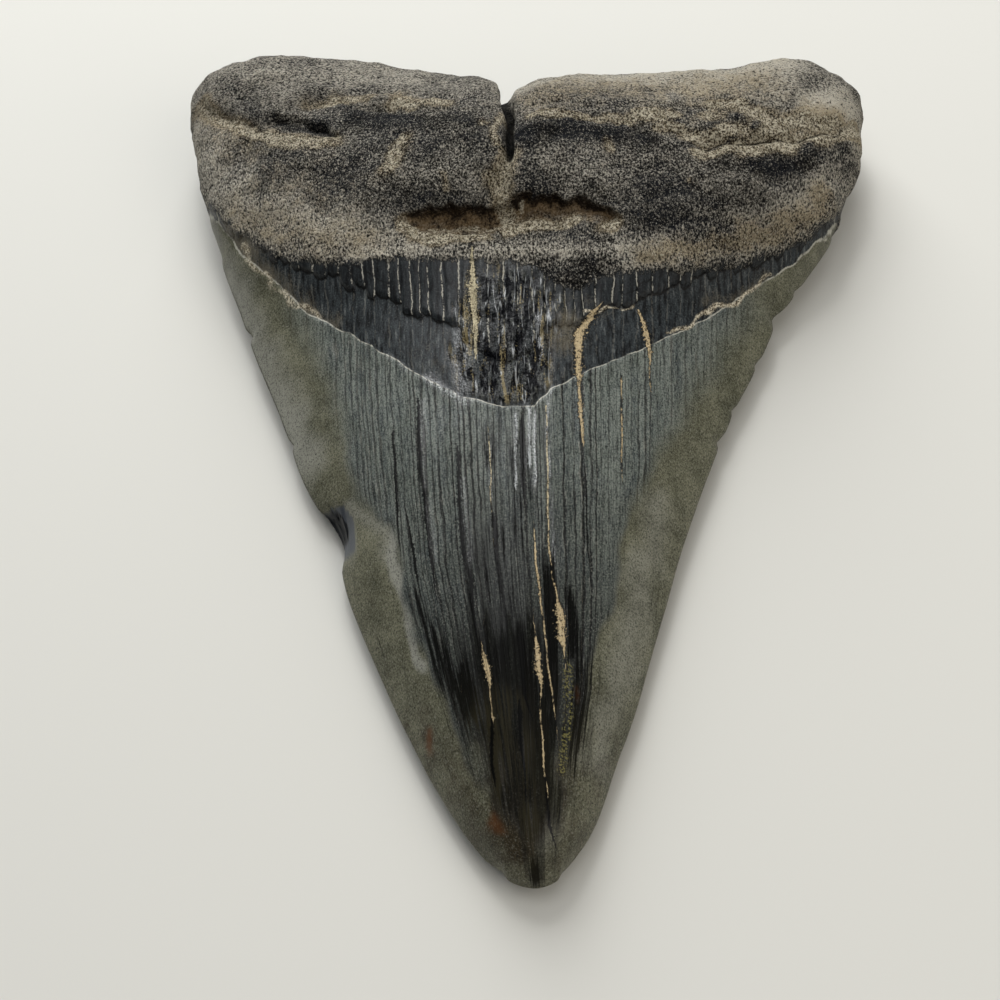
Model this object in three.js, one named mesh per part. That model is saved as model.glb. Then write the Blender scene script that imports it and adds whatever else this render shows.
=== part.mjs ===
// A fossil shark tooth, lying on its flat outer (labial) face with the domed inner (lingual) face up.
// Millimetres, +Z up. The root is at +Y and the tip at -Y. The origin is on the resting surface, under
// the middle of the tooth's bounding box. Root, collar and crown grew as one piece, so it is one solid.
import * as THREE from "three";
import { mergeVertices } from "three/addons/utils/BufferGeometryUtils.js";

// Driving dimensions
const ringSides = 88; // facets round a cross-section, half above the cutting edge and half below
const crownRows = 21; // rows of facets from the tip to the foot of the collar
const rootRows = 28; // rows from there to the top of the root
const collarFoot = 0.6; // where the collar starts, as a share of the way from the tip to the root's top
const rimCrowding = 0.3; // how far columns bunch up at the rims, 0 for evenly spaced
const topCrowding = 0.5; // how far rows bunch up at the top of the root
const tipRound = 0.045; // share of the length over which the tip rounds off
const rootRound = 0.07; // share of the length over which the top of the root rounds off
const contactSink = 0.35; // how far the high spots of the flat face are worn down, which makes flats to rest on

// The outline, seen from above, in four stretches that meet at the tip's and the lobes' corners
const tipEnd = [[0.6, -65.3], [3.1, -67], [6, -67.6], [8.4, -66.6], [9.9, -64.4]];
const leftSide = [
  [0.6, -65.3], [-1.9, -62.6], [-4.6, -58.6], [-8.4, -52.6], [-12.3, -45.2], [-16.6, -36.4],
  [-20.6, -27.4], [-22, -22.6], [-22.9, -18], [-25.6, -14], [-28.4, -9.4], [-31.7, -1.2],
  [-35, 6.4], [-38.4, 14], [-41.7, 22], [-44.9, 29.6], [-47.7, 36.6], [-49.9, 44],
  [-51.9, 51.4], [-53.1, 57.6], [-53.4, 64.2],
];
const rightSide = [
  [9.9, -64.4], [12.5, -60.4], [14.9, -53.4], [17.7, -44.6], [20.6, -33.8], [23.8, -21.8],
  [27.6, -9.6], [31.6, 1.4], [35.9, 10.6], [39.2, 18.6], [42.9, 24.6], [46.9, 31],
  [50.2, 38], [52.4, 44.6], [53.7, 51], [53.7, 56.8], [51.2, 61.3],
];
const rootTop = [
  [-53.4, 64.2], [-48.8, 67.4], [-39, 67.4], [-30, 66.4], [-19, 64.4], [-9, 61.6], [-4.4, 59.6],
  [-1.6, 57.4], [1.6, 58.4], [6, 59.6], [14, 60.4], [22, 60.8], [28, 60.4], [34, 61.5], [43, 63.4], [51.2, 61.3],
];

// Heights above the resting surface, along the length: [y, z]
const crestHeights = [
  [-67.3, 7.4], [-60, 8.8], [-48, 11], [-30, 13.6], [-10, 16], [8, 17.6], [20, 18.4], [32, 19],
  [42, 18.6], [54, 17.6], [67.3, 16],
];
const rimHeights = [
  [-67.3, 3], [-48, 2.9], [-20, 3.2], [10, 3.7], [28, 4.8], [40, 6.6], [52, 8], [67.3, 8.2],
];
// The flat face is a little hollow under the crown and between the lobes: [y, z]
const undersideHeights = [
  [-67.3, 0.6], [-60, -0.1], [-52, 0.3], [-30, 1.3], [-5, 1.7], [18, 1.5], [34, 0.7], [50, 0], [67.3, 0.3],
];

// Swellings and hollows of the upper face: centre, reach along X and Y, and height
const reliefs = [
  { at: [0, 40], reach: [24, 14], rise: 5.6 }, // the boss above the collar
  { at: [-45, 59], reach: [18, 9], rise: 4 }, // left lobe
  { at: [44, 56], reach: [13, 8], rise: 2.5 }, // right lobe
  { at: [-0.5, 47], reach: [2.4, 12], rise: -3 }, // the cleft between the lobes
  { at: [0.5, 24.6], reach: [14, 2.6], rise: -2.4 }, // the hollow across the boss, where the vessels entered
];

// A smooth curve through [a, b] pairs, read as b at a given a
function profile(pairs) {
  const last = pairs.length - 1;
  return (a) => {
    const after = pairs.findIndex((pair) => pair[0] > a);
    const i = THREE.MathUtils.clamp(after < 0 ? last : after, 1, last);
    const span = pairs[i][0] - pairs[i - 1][0];
    const share = THREE.MathUtils.clamp((a - pairs[i - 1][0]) / span, 0, 1);
    const slope = (k) => {
      const low = pairs[Math.max(k - 1, 0)];
      const high = pairs[Math.min(k + 1, last)];
      return ((high[1] - low[1]) / (high[0] - low[0])) * span;
    };
    const cubed = share ** 3;
    const squared = share ** 2;
    return (
      (2 * cubed - 3 * squared + 1) * pairs[i - 1][1] +
      (cubed - 2 * squared + share) * slope(i - 1) +
      (3 * squared - 2 * cubed) * pairs[i][1] +
      (cubed - squared) * slope(i)
    );
  };
}

const spline = (points) => new THREE.SplineCurve(points.map(([x, y]) => new THREE.Vector2(x, y)));
const outline = {
  tip: spline(tipEnd),
  left: spline(leftSide),
  right: spline(rightSide),
  top: spline(rootTop),
};
const crestAt = profile(crestHeights);
const rimAt = profile(rimHeights);
const undersideAt = profile(undersideHeights);

// A point of the outline's inside: across runs 0 to 1 from left to right, along runs 0 to 1 from tip to root
function planPoint(across, along) {
  const sides = outline.left
    .getPointAt(along)
    .lerp(outline.right.getPointAt(along), across);
  const ends = outline.tip.getPointAt(across).lerp(outline.top.getPointAt(across), along);
  const tipChord = outline.left.getPointAt(0).lerp(outline.right.getPointAt(0), across);
  const topChord = outline.left.getPointAt(1).lerp(outline.right.getPointAt(1), across);
  return sides.add(ends).sub(tipChord.lerp(topChord, along));
}

// How full the section is, 0 at both ends of the tooth and 1 between them
function endFullness(along) {
  const tip = THREE.MathUtils.clamp(1 - along / tipRound, 0, 1);
  const root = THREE.MathUtils.clamp((along - 1 + rootRound) / rootRound, 0, 1);
  return Math.sqrt(1 - tip ** 2) * Math.sqrt(1 - root ** 2.8);
}

// The height of the skin over a plan point. The crown's section is a low lens and the root's a thick slab.
function skinHeight(plan, sideways, along, isUpper) {
  const rootShare = THREE.MathUtils.smoothstep(along, collarFoot, 0.86);
  const rim = rimAt(plan.y);
  const power = THREE.MathUtils.lerp(isUpper ? 1.9 : 3, isUpper ? 5.5 : 6, rootShare);
  const root = THREE.MathUtils.lerp(isUpper ? 0.92 : 0.8, 0.5, rootShare);
  const fullness = (1 - Math.abs(sideways) ** power) ** root * endFullness(along);
  if (!isUpper) {
    const underside = Math.max(undersideAt(plan.y) - contactSink, 0);
    return Math.max(rim + (underside - contactSink - rim) * fullness, 0);
  }
  const relief = reliefs.reduce((sum, { at, reach, rise }) => {
    const away = ((plan.x - at[0]) / reach[0]) ** 2 + ((plan.y - at[1]) / reach[1]) ** 2;
    return sum + rise * Math.exp(-away);
  }, 0);
  return rim + (crestAt(plan.y) + relief - rim) * fullness;
}

// Rows are coarse on the smooth crown, finer on the root, and finest where the root rounds over
function rowPlace(row) {
  if (row <= crownRows) return (collarFoot * row) / crownRows;
  const share = (row - crownRows) / rootRows;
  const eased = Math.sin((share * Math.PI) / 2);
  return collarFoot + (1 - collarFoot) * THREE.MathUtils.lerp(share, eased, topCrowding);
}

// A tube skin, open at both ends, is laid over the tooth. Its end rings close into seams on the outline.
function toothSkin() {
  const rows = crownRows + rootRows;
  const columns = ringSides / 2;
  const skin = new THREE.CylinderGeometry(1, 1, 1, ringSides, rows, true);
  const around = skin.getAttribute("uv");
  const position = skin.getAttribute("position");
  for (let i = 0; i < position.count; i++) {
    const turn = Math.round(around.getX(i) * ringSides);
    const isUpper = turn <= columns;
    const even = (2 * (isUpper ? turn : ringSides - turn)) / columns - 1;
    const sideways = THREE.MathUtils.lerp(even, Math.sin((even * Math.PI) / 2), rimCrowding);
    const along = rowPlace(Math.round(around.getY(i) * rows));
    const plan = planPoint((sideways + 1) / 2, along);
    position.setXYZ(i, plan.x, plan.y, skinHeight(plan, sideways, along, isUpper));
  }
  skin.deleteAttribute("uv");
  skin.deleteAttribute("normal");
  const closed = mergeVertices(skin, 1e-3);
  closed.computeVertexNormals();
  return closed;
}

const fossil = new THREE.MeshStandardMaterial({ color: 0x4a4b44, roughness: 0.5, metalness: 0 });
const tooth = new THREE.Mesh(toothSkin(), fossil);
tooth.name = "tooth";

const part = new THREE.Group();
part.add(tooth);
export default part;
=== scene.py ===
import functools
import math

import bmesh
import bpy
import numpy as np
from mathutils import Euler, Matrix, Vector, noise


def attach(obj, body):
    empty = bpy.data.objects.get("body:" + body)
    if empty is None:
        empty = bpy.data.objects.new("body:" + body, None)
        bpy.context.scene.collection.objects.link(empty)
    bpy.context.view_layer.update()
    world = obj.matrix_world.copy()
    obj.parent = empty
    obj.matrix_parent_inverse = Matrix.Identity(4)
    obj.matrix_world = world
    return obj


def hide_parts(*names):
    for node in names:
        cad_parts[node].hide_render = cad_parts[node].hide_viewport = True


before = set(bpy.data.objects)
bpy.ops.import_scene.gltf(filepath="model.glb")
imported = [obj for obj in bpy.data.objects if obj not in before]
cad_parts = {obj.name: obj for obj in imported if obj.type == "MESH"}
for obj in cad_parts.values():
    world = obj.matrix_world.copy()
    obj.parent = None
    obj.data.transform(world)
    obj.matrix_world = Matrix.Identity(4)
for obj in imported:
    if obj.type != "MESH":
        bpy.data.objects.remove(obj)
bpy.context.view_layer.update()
mm = 0.001
print("frame loaded")


def linear(hexColour):
    # sRGB hex to the linear colour that the shaders take
    parts = [int(hexColour[i:i + 2], 16) / 255 for i in (1, 3, 5)]
    return [p / 12.92 if p <= 0.04045 else ((p + 0.055) / 1.055) ** 2.4 for p in parts] + [1]


def addNode(tree, known, kind, inputs=(), out=None, **settings):
    # adds one node, sets it, links or fills its inputs in order or by name, and gives back an output;
    # an input that is a word is the mesh field or the noise known by that name
    node = tree.nodes.new("ShaderNode" + kind)
    for name, value in settings.items():
        setattr(node, name, value)
    sockets = [s for s in node.inputs if s.enabled]
    if isinstance(inputs, dict):
        sockets = [node.inputs[name] for name in inputs]
        inputs = inputs.values()
    for socket, value in zip(sockets, inputs):
        value = known[value] if isinstance(value, str) else value
        if isinstance(value, bpy.types.NodeSocket):
            tree.links.new(value, socket)
        else:
            socket.default_value = value
    return node.outputs[out] if out else next(s for s in node.outputs if s.enabled)


def ease(value, low, high):
    # 0 below low, 1 above high and a smooth S between them
    t = np.clip((value - low) / (high - low), 0, 1)
    return t * t * (3 - 2 * t)


def bump(value, width):
    # 1 at zero, falling away to both sides
    return np.exp(-(value / width) ** 2)


def lineAt(points, where):
    # the line through (where, value) points, read at each where
    points = sorted(points)
    return np.interp(where, [p[0] for p in points], [p[1] for p in points])


def lineGap(points, where, value):
    # distance past the line, positive where value is the larger
    slope = lineAt(points, where + 0.5) - lineAt(points, where - 0.5)
    return (value - lineAt(points, where)) / np.sqrt(1 + slope ** 2)


def pathGap(points, x, y):
    # distance to a path, and how far along it the nearest place is, from 0 to 1
    best = np.full(len(x), 1e9)
    along = np.zeros(len(x))
    done, spans = 0, [math.dist(a, b) for a, b in zip(points, points[1:])]
    for (a, b), span in zip(zip(points, points[1:]), spans):
        t = np.clip(((x - a[0]) * (b[0] - a[0]) + (y - a[1]) * (b[1] - a[1])) / span ** 2, 0, 1)
        gap = np.hypot(x - a[0] - t * (b[0] - a[0]), y - a[1] - t * (b[1] - a[1]))
        nearer = gap < best
        best = np.where(nearer, gap, best)
        along = np.where(nearer, (done + t * span) / sum(spans), along)
        done += span
    return best, along


def lumps(places, size, seed, stretch=(1, 1, 1)):
    # smooth noise from about -1 to 1, with lumps of this size in mm
    offset = Vector((seed * 17.3, seed * 5.1, seed * 9.7))
    step = np.array(stretch, float) * size
    return np.array([noise.noise(Vector(p) + offset) for p in places / step]) * 1.6


# the camera and the lights, in mm
camera = {
    "place": (18.8, -134.9, 185.4),
    "target": (-1, -10, 0),
    "roll": -8.1,
    "lens": 57.6,
}
stageLight = {
    "floor": "#d8d7d0",
    "floorHalf": 3000,
    "aimAt": (0, 0, 5),
    "sky": ("#f6f8fb", 0.2),
    "window": {"place": (-150, 640, 400), "size": 560, "power": 6, "colour": "#fdfeff"},
    "ceiling": {"place": (-40, 60, 820), "size": 620, "power": 1.5, "colour": "#ffffff"},
    "room": {"place": (420, -260, 400), "size": 500, "power": 1.2, "colour": "#fff7ec"},
    "lamp": {"place": (-50, 350, 480), "size": 110, "power": 0.5, "colour": "#ffffff"},
}


def aim(thing, place, target, roll=0):
    # puts a camera or light in place, facing its target, turned by roll degrees
    way = Vector(target) - Vector(place)
    turn = way.to_track_quat("-Z", "Y") @ Euler((0, 0, math.radians(roll))).to_quaternion()
    thing.location = Vector(place) * mm
    thing.rotation_euler = turn.to_euler()


def makeStage():
    scene = bpy.context.scene
    scene.view_settings.view_transform = "Standard"
    eye = bpy.data.objects.new("camera", bpy.data.cameras.new("camera"))
    eye.data.lens = camera["lens"]
    eye.data.clip_start = 0.01
    scene.collection.objects.link(eye)
    scene.camera = eye
    aim(eye, camera["place"], camera["target"], camera["roll"])

    for name in ("window", "ceiling", "room", "lamp"):
        facts = stageLight[name]
        lamp = bpy.data.objects.new(name, bpy.data.lights.new(name, "AREA"))
        lamp.data.size = facts["size"] * mm
        lamp.data.energy = facts["power"]
        lamp.data.color = linear(facts["colour"])[:3]
        scene.collection.objects.link(lamp)
        aim(lamp, facts["place"], stageLight["aimAt"])

    world = bpy.data.worlds.new("softSky")
    world.use_nodes = True
    colour, strength = stageLight["sky"]
    world.node_tree.nodes["Background"].inputs["Color"].default_value = linear(colour)
    world.node_tree.nodes["Background"].inputs["Strength"].default_value = strength
    scene.world = world

    bm = bmesh.new()
    bmesh.ops.create_grid(bm, x_segments=2, y_segments=2, size=stageLight["floorHalf"] * mm)
    mesh = bpy.data.meshes.new("floor")
    bm.to_mesh(mesh)
    floor = bpy.data.objects.new("floor", mesh)
    scene.collection.objects.link(floor)
    paper = bpy.data.materials.new("mattePaper")  # plain and pale, with no gloss
    paper.use_nodes = True
    shader = paper.node_tree.nodes["Principled BSDF"]
    shader.inputs["Base Color"].default_value = linear(stageLight["floor"])
    shader.inputs["Roughness"].default_value = 0.9
    mesh.materials.append(paper)


makeStage()
print("stage made")

# The tooth's fine mesh. All lines and spots are in mm, in the frame's own X and Y, on the domed upper face.
tooth = {
    # foot of the root, where the ribbed collar starts, and the same on the flat face: (x, y)
    "rootFoot": [(-50, 43), (-46, 37.5), (-42, 32.5), (-38, 28.6), (-32, 24.3), (-26, 21.9), (-20, 20.3),
                 (-10, 19), (-4, 18.2), (4, 17), (7, 14.4), (10, 13.2), (12.5, 15.6), (16, 17), (26, 19.2),
                 (34, 23), (39, 26.2), (44, 30.2), (49, 37), (52, 42)],
    "flatFoot": [(-50, 42), (-46, 36), (-36, 28), (-20, 25), (-6, 27.5), (2, 29), (10, 27.5), (24, 25),
                 (38, 27), (47, 33), (52, 41)],
    # the crown's upper edge, a shallow V
    "crownEdge": [(-50, 42), (-46, 36), (-40.5, 28), (-35, 22.6), (-29.5, 16), (-23, 10.8), (-15.5, 4.3),
                  (-9.7, -0.9), (-5.3, -4), (0.6, -6.3), (4.7, -5.8), (6.8, -2.9), (11.6, 0.5),
                  (18.7, 5.6), (25, 10.6), (32.9, 18.3), (41.5, 25.8), (46.5, 31.7), (49, 35.7), (52, 41)],
    # the step where the collar's upper plates end
    "collarStep": [(-40, 31), (-33, 24.2), (-27.4, 20.6), (-23.7, 18.9), (-18.6, 14.8), (-11.4, 10.2),
                   (-5, 6.1), (-3, 4), (0.5, 1.5), (4, 3.5), (6.1, 6.4), (10.5, 8.5), (15, 11.7),
                   (21.3, 15.2), (27.8, 19), (35, 23.4), (41.5, 28.2), (47, 34)],
    # the sides of the blade's striated middle, where the worn margins start: (y, x)
    "coreLeft": [(-66, 4), (-56, -1.5), (-48, -4.6), (-39, -9), (-31, -12.3), (-20.5, -14.5),
                 (-14.6, -20.5), (4.5, -26), (18, -33)],
    "coreRight": [(-66, 6.5), (-56, 9), (-49, 10.8), (-37, 13.3), (-31, 15.6), (-22.5, 16.5), (-13, 20),
                  (0, 26), (18, 36)],
    # the growth lines: where their axis runs, and how far they spread from it: (y, x) and (y, share)
    "growthAxis": [(-68, 5.9), (-60, 5.3), (-44, 4.2), (-28, 2.5), (0, 0.8), (20, 0)],
    "growthSpread": [(-68, 0.26), (-60, 0.44), (-44, 0.7), (-28, 0.87), (0, 1), (20, 1.04)],
    # how softly the striated middle gives way to the margins: (y, mm)
    "coreSoftness": [(-40, 0.7), (-20, 1), (-5, 3), (15, 5)],
    # the ridged middle of the collar: over which x it starts and ends, and over which y it ends
    "ridgeZone": [(-7.5, -4), (5.5, 9), (14, 18)],
    # places with the smallest shapes: x from and to, y from and to
    "fineBoxes": {
        "hollow": (-18, 19, 20, 28.5),
        "cleft": (-3.5, 3.5, 26, 56),
        "leftShelf": (-40, -24, 36, 47),
        "rightShelf": (18, 50, 36, 47),
        "brink": (1, 20, 38.5, 42),
    },
    "smoothings": 2,
    "rimAngle": 60,  # edges bent more than this many degrees stay a little sharper, by the crease
    "rimCrease": 0.6,
    "rootRise": 0.45,  # of the root over the crown
    "plateRise": 0.42,  # of the plates over the rest of the collar
    "plateWidth": 1.75,
    "plateSpread": 0.38,  # how far the plates' widths vary, as a share
    "plateDrop": 0.65,  # how far up or down a plate may end
    "plateGroove": (0.35, 0.16),  # half width and depth
    "strandWidth": 0.78,
    "strandSpread": 0.62,
    "runLines": 200,  # plates or strands, more than enough to span the tooth
    "lipRise": 0.1,  # of the crown's raised edge
    "foldWidth": 1.3,  # of the ridges in the collar's middle
    "foldRise": 0.45,
    "foldSink": 0.4,
    "bladeRipple": 0.12,
    "crownWave": 0.12,
    "coreRise": 0.35,  # of the striated middle over the worn margins
    # the root's unevenness: height, lump size, seed, how little it is drawn out
    "rootLumps": [(0.36, 7, 9, (1, 1, 1)), (0.22, 2.6, 10, (1.6, 1, 1)), (0.11, 1.2, 11, (1, 1, 1))],
    "crackThinnest": 0.004,  # half width, so that a crack closes without a division by zero
    "crackFade": 400,  # half widths that the flat face lies away from every crack
    # the hollow where the vessels went in: its upper edge and its lower lip
    "hollowTop": [(-16.5, 25.9), (-13.6, 26.9), (-8, 27), (-2, 26.9), (2.4, 28.1), (7.2, 27.8),
                  (11.4, 27.6), (15.1, 26.1), (17.2, 24.8)],
    "hollowLip": [(-16.5, 25.6), (-14.2, 24.2), (-12.3, 22.6), (-10, 21.9), (-6.6, 22.3), (-3.2, 22),
                  (0.8, 23.6), (4.4, 23.7), (9.8, 24.6), (12.8, 23.7), (15, 23.6), (17.2, 24.6)],
    "hollowEnds": [(-16.5, -13.5), (14.5, 17.2)],  # over which x it fades out at each end
    "hollowDepth": 1.6,
    # the cleft between the lobes: (y, x, half width, depth)
    "cleft": [(60, -1.5, 1.2, 2.5), (54, -1.4, 0.9, 2.6), (48, -0.5, 0.7, 2.8), (42, 0, 0.6, 3),
              (36, 0.5, 0.6, 2.8), (33.5, 0.2, 1, 1.8), (30, -0.8, 1.5, 1.3), (26, -0.4, 1.8, 1)],
    # crevices and shelves of the root: path, depth, reach below and above the path
    "ledges": [
        ([(-50, 56.5), (-47.5, 53.5), (-44.8, 51), (-41.3, 48.6), (-38.5, 47.6)], 0.8, 1.4, 0.6),
        ([(-38, 48.2), (-35.2, 48.3), (-33, 47.4), (-30.2, 45.7), (-27, 43.6), (-25.5, 42)], 1.1, 1.5, 0.4),
        ([(-35.5, 49.6), (-30.1, 50.2), (-25.1, 49.5), (-19.8, 46.9), (-15.9, 45.2), (-13.3, 44.4),
          (-7.1, 42.7), (-3, 45)], 1.1, 0.35, 1.8),
        ([(-30, 52.8), (-22, 51.8), (-14, 49.2), (-5, 47.4)], 0.5, 0.4, 0.6),
        ([(1.6, 38), (3.5, 40), (9.8, 40.6), (16.8, 40.9), (19.5, 39.4), (22.7, 39), (26.5, 39)],
         1.15, 0.4, 3.2),
        ([(4, 44.4), (16.8, 44.8), (21.8, 46.3), (27.3, 46.6), (33, 47.6)], 0.55, 0.35, 1),
        ([(26, 37.4), (30.3, 38.2), (33.6, 39.2), (36.9, 40.4), (40.3, 41.7), (44.4, 43.6),
          (48.6, 46.4), (52, 50)], 1, 0.7, 1.5),
        ([(-46, 42), (-42.6, 41), (-40.6, 45)], 0.25, 0.5, 0.5),
        ([(44, 34.5), (49, 40), (51.5, 46)], 0.3, 0.5, 0.7),
    ],
    # bare lumps that stand up out of the silt: place, reach, rise
    "knobs": [((28.6, 41.9), 1.7, 0.9), ((32.8, 44.2), 1.8, 0.9), ((35.6, 42.9), 1.2, 0.7),
              ((24.2, 48.6), 1.6, 0.4), ((12.5, 24.6), 1.3, 0.6), ((-31, 52.4), 2, 0.5),
              ((-20, 49.4), 1.4, 0.4)],
    # small chips along the cutting edge: place, radius, bite
    "nicks": [((42.4, 23.2), 0.9, 0.6), ((39, 18.6), 1.6, 1), ((35.7, 10.4), 1, 0.5),
              ((32.4, 2.2), 0.8, 0.6), ((29.9, -3), 0.9, 0.6), ((-39.6, 17.2), 0.9, 0.7),
              ((-31.2, -2.6), 0.9, 0.5)],
    # the big chip on the left edge, with the ridge that it is cut down from: (y, x)
    "chipRidge": [(-26, -20.6), (-22, -19.2), (-17, -19.9), (-15, -21.2), (-13.6, -23.6)],
    "chipStart": -13.8,
    "chipLength": 10.5,
    "chipSlope": 1.9,  # mm down for each mm out
    "chipCurve": 0.18,  # how soon the slope flattens out
    "chipFoot": 1.9,  # the height that it isn't cut below
    "chipBite": 0.8,
    # open cracks, most of them packed with tan silt: (y, x, half width)
    "siltCracks": [
        [(20.5, -4.6, 0.1), (16, -4.4, 0.45), (13.4, -4.3, 0.85), (10, -4, 0.55), (6.5, -3.6, 0.42),
         (3, -3.4, 0.3), (1, -3.3, 0)],
        [(-8, -1.4, 0), (-12.6, -1, 0.1), (-22.2, -0.3, 0.09), (-30.4, 0.5, 0), (-38, -1.1, 0),
         (-40.6, -0.8, 0.1), (-41.4, -0.6, 0.3), (-43.2, -0.2, 0.45), (-44.4, 0, 0.32), (-45.2, 0.1, 0.1),
         (-48.4, 0.5, 0.1), (-49.2, 0.6, 0.25), (-50.2, 0.7, 0)],
        [(12, 13.6, 0), (10.1, 12.4, 0.42), (6.9, 10.6, 0.78), (2.8, 10.3, 0.52), (0, 10.5, 0.44),
         (-2, 10.6, 0.18), (-5, 10.7, 0.3), (-9.8, 10.9, 0.2), (-12, 11.1, 0)],
        [(12, 18.6, 0.14), (10.4, 19.1, 0.3), (8, 19.8, 0.46), (6.4, 20, 0.4), (4, 20.1, 0.14),
         (1, 20, 0.1), (-1, 20, 0)],
        [(2, 16.2, 0), (0.3, 16.2, 0.13), (-5, 16.1, 0.11), (-12.5, 16.1, 0.1), (-16, 16, 0)],
        [(-5.3, 6.2, 0.1), (-18, 6.6, 0.14), (-26.7, 6.9, 0.12), (-31, 7.5, 0.12), (-33.6, 8, 0.12),
         (-34.4, 8.1, 0.5), (-35.9, 8.4, 0.62), (-38, 8.6, 0.66), (-39.4, 8.9, 0.4), (-40.2, 9, 0.1),
         (-44.5, 9.2, 0)],
        [(-22, 5, 0), (-24.8, 5.1, 0.11), (-29.8, 5.5, 0.18), (-34.3, 6.1, 0.14), (-39.9, 6.8, 0.12),
         (-44, 7.4, 0.14), (-52, 8.3, 0)],
        [(-36, 5.2, 0), (-38.6, 5.5, 0.1), (-39.6, 5.6, 0.3), (-42, 5.9, 0.42), (-44, 6.1, 0.36),
         (-45, 6.2, 0.1), (-48, 6.3, 0.11), (-52, 6.5, 0.12), (-57, 7.1, 0.1), (-60, 7.4, 0)],
    ],
    "bareCracks": [
        [(-56, 7, 0), (-58, 7.2, 0.16), (-61.7, 7.6, 0.22), (-64.8, 8.5, 0)],
        [(-48, 0.3, 0), (-51, 0.6, 0.3), (-55, 0.7, 0.25), (-58, 1.2, 0)],
        [(-46, 3.6, 0), (-48.5, 3.8, 0.35), (-52, 4, 0.3), (-56, 4.6, 0.12), (-61.5, 5, 0)],
        [(-36, 3.2, 0), (-40, 3.7, 0.4), (-46, 4.4, 0.3), (-50, 5.4, 0)],
        [(-11, 11, 0), (-17, 11.5, 0.16), (-25.8, 11.7, 0.12), (-33, 12.3, 0)],
        [(-6, -14.6, 0), (-8, -14.4, 0.2), (-13.2, -13.8, 0.24), (-19, -13.2, 0.18), (-27.7, -12.3, 0)],
        [(-17, -12.4, 0), (-22.8, -11.1, 0.24), (-28.4, -10.1, 0.2), (-33, -9, 0)],
        [(-2.4, -11.3, 0), (-4, -11.1, 0.25), (-9, -10.6, 0.36), (-14.6, -10, 0.42), (-19.4, -9.2, 0.36),
         (-23.5, -8.6, 0.3), (-29, -7.8, 0.22), (-34, -6.8, 0)],
        [(-11, -5.3, 0), (-12.4, -5.2, 0.25), (-18, -4.8, 0.32), (-22.8, -4.4, 0.42), (-27.5, -3.7, 0.45),
         (-31.3, -2.7, 0.3), (-38, -1.8, 0)],
        [(-21, -0.4, 0), (-22.5, -0.1, 0.35), (-27.1, 0.2, 0.4), (-32.4, 1.2, 0.3), (-38, 2, 0)],
        [(-7, 3, 0), (-9, 3.1, 0.4), (-17, 3.4, 0.35), (-21, 3.8, 0)],
    ],
    # where tan silt clings to the root: path, reach, strength
    "silt": [
        ([(-49.5, 55.5), (-43.8, 49), (-38.6, 45.8), (-32.4, 42.2), (-29, 41.3), (-26.2, 41.4)], 1.3, 1.15),
        ([(-46, 48), (-38, 42.5)], 3, 0.3),
        ([(-31, 51), (-24, 50.8), (-16, 48.6), (-9, 46)], 1.2, 0.85),
        ([(-17.3, 33.3), (-15.7, 35.8), (-14.9, 38.5)], 1.3, 0.95),
        ([(-3.8, 39.9), (-3.6, 40.2)], 1, 1),
        ([(-8.9, 31.2), (-8.3, 29.4)], 0.7, 0.6),
        ([(-14.8, 25.2), (-12.6, 22.6), (-9, 21.9), (-3, 22)], 1, 1.3),
        ([(-11, 24), (-2, 24.4), (9, 25.4)], 1.1, 0.75),
        ([(0, 23.2), (4, 23.8), (8, 24.2), (10, 24.8)], 1, 1.2),
        ([(12.4, 23.9), (15.5, 24.2)], 1, 1.2),
        ([(0.2, 34), (-1.2, 31), (-0.8, 28), (0.5, 25.5)], 1.7, 0.95),
        ([(-1.6, 44), (-1.4, 36)], 0.7, 0.8),
        ([(3, 41.5), (9.8, 42), (16.8, 42.3), (20, 43)], 0.9, 0.95),
        ([(20.1, 43), (22.5, 44)], 1.7, 1.2),
        ([(22.5, 41), (25, 41)], 1, 1.15),
        ([(27, 36.3), (30.3, 37), (33.6, 38.2), (36.9, 39.2), (40.3, 40.6), (44.4, 42.6), (48.6, 45.3),
          (51.6, 48.8)], 1, 1.35),
        ([(34, 43.5), (40, 44.6), (48, 47.4)], 2.3, 1),
        ([(30, 47.6), (35, 46.6)], 1.2, 1.15),
        ([(28, 43.6), (34, 45.6), (38, 44.4)], 2, 1.05),
        ([(27, 39.8), (33.7, 41.4), (40, 42.6)], 1.7, 1.15),
        ([(4, 47), (14, 50), (24, 50), (36, 52)], 5, 0.36),
        ([(15.2, 35.9), (14.4, 37.4)], 1, 0.9),
        ([(25.8, 31.4), (25.9, 31.8)], 0.6, 0.6),
        ([(-43, 33.5), (-36, 29), (-28, 25.4), (-20, 22.8)], 3.2, 0.34),
        ([(-36, 36), (-26, 32)], 6, 0.22),
        ([(19.5, 19.5), (26, 21.6), (33.2, 25.6), (37, 27.4), (42.3, 31), (46, 35)], 1.7, 0.55),
        ([(2.4, 26.4), (2.4, 28)], 0.6, 0.8),
    ],
    # where pale grains lie thickest on the root; along the top band they also give a painted sheen
    "dust": [
        ([(-49, 61), (-40, 60), (-28, 59), (-12, 56)], 6.5, 0.45),
        ([(-42, 58), (-34.7, 56.4), (-26, 56), (-14, 53.6)], 2.2, 0.6),
        ([(2, 55), (14, 56), (30, 55), (40, 56)], 5.5, 1.2),
        ([(-42, 34.5), (-34, 29.5), (-27, 26), (-19, 22.8)], 4, 0.72),
        ([(-50, 52), (-47, 43), (-42, 38)], 4, 0.55),
        ([(-22, 20.8), (-10, 20), (0, 19.6), (12, 19.5)], 1.8, 0.75),
        ([(45, 36), (50, 43), (52, 50)], 3, 0.8),
        ([(46, 49), (50, 52)], 3.6, 1.5),
        ([(16, 19), (27, 22.8), (35, 27.6), (43, 33)], 2.8, 0.75),
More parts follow.
